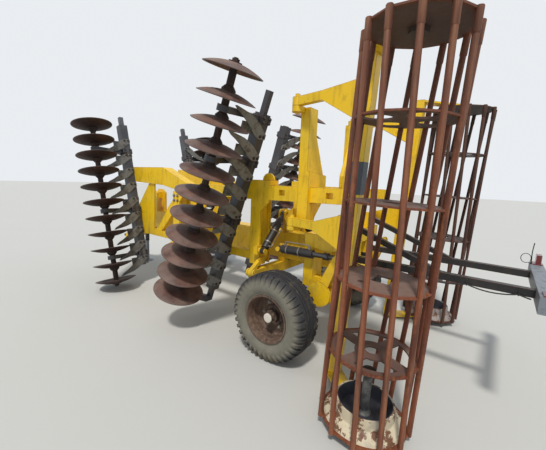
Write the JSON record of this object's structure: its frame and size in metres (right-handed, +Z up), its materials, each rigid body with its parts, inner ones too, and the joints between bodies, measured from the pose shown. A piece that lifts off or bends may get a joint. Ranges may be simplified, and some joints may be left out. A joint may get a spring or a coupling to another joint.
{
  "type": "disc harrow",
  "caption": "Trailed folding disc harrow with cage rollers, lift axle, light bar and drawbar, stored with both wings folded upright.",
  "frame": {"origin": "middle of the machine's plan box, on the ground", "axes": "+Y forward to the hitch eye, +X to the machine's right, +Z up"},
  "size_m": [3.0306, 6.727, 2.8439],
  "materials": {
    "frame_paint": "worn yellow paint",
    "gang_paint": "dark grey paint, faded",
    "dark_steel": "black paint",
    "zinc": "dull galvanised",
    "lamp_red": "red lens",
    "scraper_steel": "worn grey steel",
    "disc_steel": "light rust over worn steel",
    "spool_iron": "dark iron",
    "rusted_steel": "rust",
    "hub_iron": "worn pale paint and rust",
    "tyre": "dusty rubber",
    "rim_steel": "rusted steel",
    "cylinder_black": "black paint",
    "rod_chrome": "hard chrome"
  },
  "bodies": {
    "chassis": {"chassis": "frame_paint", "drawbar": "frame_paint", "hitch_eye": "dark_steel", "jack_tube": "dark_steel", "light_frame": "dark_steel", "light_beam": "zinc", "tail_lamps": "lamp_red"},
    "jack_leg": {"jack_foot": "zinc"},
    "lift_axle": {"lift_axle": "frame_paint"},
    "wheel_left": {"tyre_left": "tyre", "wheel_rim_left": "rim_steel"},
    "wing_left": {"wing_frame_left": "frame_paint", "wing_post_left": "frame_paint", "gang_beams_left": "gang_paint", "hangers_left": "gang_paint", "scrapers_left": "scraper_steel"},
    "front_gang_left": {"front_discs_left": "disc_steel", "front_spools_left": "spool_iron"},
    "rear_gang_left": {"rear_discs_left": "disc_steel", "rear_spools_left": "spool_iron"},
    "roller_frame_left": {"roller_frame_left": "frame_paint"},
    "roller_left": {"roller_cage_left": "rusted_steel", "roller_hubs_left": "hub_iron"},
    "fold_barrel_left": {"fold_barrel_left": "cylinder_black"},
    "fold_rod_left": {"fold_rod_left": "rod_chrome"},
    "lift_rod_left": {"lift_rod_left": "rod_chrome"},
    "lift_barrel_left": {"lift_barrel_left": "cylinder_black"},
    "wheel_right": {"tyre_right": "tyre", "wheel_rim_right": "rim_steel"},
    "wing_right": {"wing_frame_right": "frame_paint", "wing_post_right": "frame_paint", "gang_beams_right": "gang_paint", "hangers_right": "gang_paint", "scrapers_right": "scraper_steel"},
    "front_gang_right": {"front_discs_right": "disc_steel", "front_spools_right": "spool_iron"},
    "rear_gang_right": {"rear_discs_right": "disc_steel", "rear_spools_right": "spool_iron"},
    "roller_frame_right": {"roller_frame_right": "frame_paint"},
    "roller_right": {"roller_cage_right": "rusted_steel", "roller_hubs_right": "hub_iron"},
    "fold_barrel_right": {"fold_barrel_right": "cylinder_black"},
    "fold_rod_right": {"fold_rod_right": "rod_chrome"},
    "lift_rod_right": {"lift_rod_right": "rod_chrome"},
    "lift_barrel_right": {"lift_barrel_right": "cylinder_black"}
  },
  "joints": [
    {"name": "jack_slide", "type": "slide", "parent": "chassis", "child": "jack_leg", "axis": [0, 0, 1], "range_m": [0, 0.25]},
    {"name": "axle_lift", "type": "hinge", "parent": "chassis", "child": "lift_axle", "pos_m": [0, -1.6885, 0.68], "axis": [1, 0, 0], "range_deg": [-16, 12]},
    {"name": "wheel_spin_left", "type": "hinge", "parent": "lift_axle", "child": "wheel_left", "pos_m": [-0.915, -1.3285, 0.434], "axis": [1, 0, 0], "continuous": true},
    {"name": "wing_fold_left", "type": "hinge", "parent": "chassis", "child": "wing_left", "pos_m": [-0.69, -1.3285, 0.7], "axis": [0, -1, 0], "range_deg": [0, 90]},
    {"name": "front_gang_spin_left", "type": "hinge", "parent": "wing_left", "child": "front_gang_left", "pos_m": [-1.075, 1.5735, 0.162], "axis": [0, 0.2504, 0.9681], "continuous": true},
    {"name": "rear_gang_spin_left", "type": "hinge", "parent": "wing_left", "child": "rear_gang_left", "pos_m": [-1.16, -0.1205, 0.443], "axis": [0, -0.342, 0.9397], "continuous": true},
    {"name": "roller_swing_left", "type": "hinge", "parent": "wing_left", "child": "roller_frame_left", "pos_m": [-0.652, -1.3085, 1.34], "axis": [0, 0, -1], "range_deg": [-6, 4]},
    {"name": "roller_spin_left", "type": "hinge", "parent": "roller_frame_left", "child": "roller_left", "pos_m": [-1.19, -2.3665, 0.076], "axis": [0, -0.0471, 0.9989], "continuous": true},
    {"name": "fold_cylinder_swing_left", "type": "hinge", "parent": "wing_left", "child": "fold_barrel_left", "pos_m": [-0.568, -0.8785, 0.942], "axis": [0, -1, 0], "range_deg": [-102.67, 1]},
    {"name": "fold_cylinder_stroke_left", "type": "slide", "parent": "fold_barrel_left", "child": "fold_rod_left", "axis": [0.6807, 0, 0.7325], "range_m": [-0.001, 0.3556]},
    {"name": "lift_cylinder_swing_left", "type": "hinge", "parent": "chassis", "child": "lift_barrel_left", "pos_m": [-0.665, -1.1785, 1.04], "axis": [1, 0, 0], "range_deg": [-4.26, 3.32]},
    {"name": "lift_cylinder_stroke_left", "type": "slide", "parent": "lift_barrel_left", "child": "lift_rod_left", "axis": [0, -0.9997, 0.0224], "range_m": [-0.1054, 0.0793]},
    {"name": "wheel_spin_right", "type": "hinge", "parent": "lift_axle", "child": "wheel_right", "pos_m": [0.915, -1.3285, 0.434], "axis": [1, 0, 0], "continuous": true},
    {"name": "wing_fold_right", "type": "hinge", "parent": "chassis", "child": "wing_right", "pos_m": [0.69, -1.3285, 0.7], "axis": [0, 1, 0], "range_deg": [0, 90]},
    {"name": "front_gang_spin_right", "type": "hinge", "parent": "wing_right", "child": "front_gang_right", "pos_m": [1.075, 1.5735, 0.162], "axis": [0, 0.2504, 0.9681], "continuous": true},
    {"name": "rear_gang_spin_right", "type": "hinge", "parent": "wing_right", "child": "rear_gang_right", "pos_m": [1.16, 0.3195, 0.425], "axis": [0, -0.2756, 0.9613], "continuous": true},
    {"name": "roller_swing_right", "type": "hinge", "parent": "wing_right", "child": "roller_frame_right", "pos_m": [0.652, -1.3085, 1.34], "axis": [0, 0, 1], "range_deg": [-6, 4]},
    {"name": "roller_spin_right", "type": "hinge", "parent": "roller_frame_right", "child": "roller_right", "pos_m": [1.19, -2.3665, 0.076], "axis": [0, -0.0471, 0.9989], "continuous": true},
    {"name": "fold_cylinder_swing_right", "type": "hinge", "parent": "wing_right", "child": "fold_barrel_right", "pos_m": [0.568, -0.8785, 0.942], "axis": [0, 1, 0], "range_deg": [-102.67, 1]},
    {"name": "fold_cylinder_stroke_right", "type": "slide", "parent": "fold_barrel_right", "child": "fold_rod_right", "axis": [-0.6807, 0, 0.7325], "range_m": [-0.001, 0.3556]},
    {"name": "lift_cylinder_swing_right", "type": "hinge", "parent": "chassis", "child": "lift_barrel_right", "pos_m": [0.665, -1.1785, 1.04], "axis": [1, 0, 0], "range_deg": [-4.26, 3.32]},
    {"name": "lift_cylinder_stroke_right", "type": "slide", "parent": "lift_barrel_right", "child": "lift_rod_right", "axis": [0, -0.9997, 0.0224], "range_m": [-0.1054, 0.0793]}
  ],
  "couplings": [
    {"joint": "fold_cylinder_swing_left", "follows": "wing_fold_left", "ratio": -1.1297},
    {"joint": "fold_cylinder_stroke_left", "follows": "wing_fold_left", "m_per_rad": 0.22574},
    {"joint": "lift_cylinder_swing_left", "follows": "axle_lift", "ratio": 0.23511},
    {"joint": "lift_cylinder_stroke_left", "follows": "axle_lift", "m_per_rad": 0.37392},
    {"joint": "fold_cylinder_swing_right", "follows": "wing_fold_right", "ratio": -1.1297},
    {"joint": "fold_cylinder_stroke_right", "follows": "wing_fold_right", "m_per_rad": 0.22574},
    {"joint": "lift_cylinder_swing_right", "follows": "axle_lift", "ratio": 0.23511},
    {"joint": "lift_cylinder_stroke_right", "follows": "axle_lift", "m_per_rad": 0.37392}
  ]
}
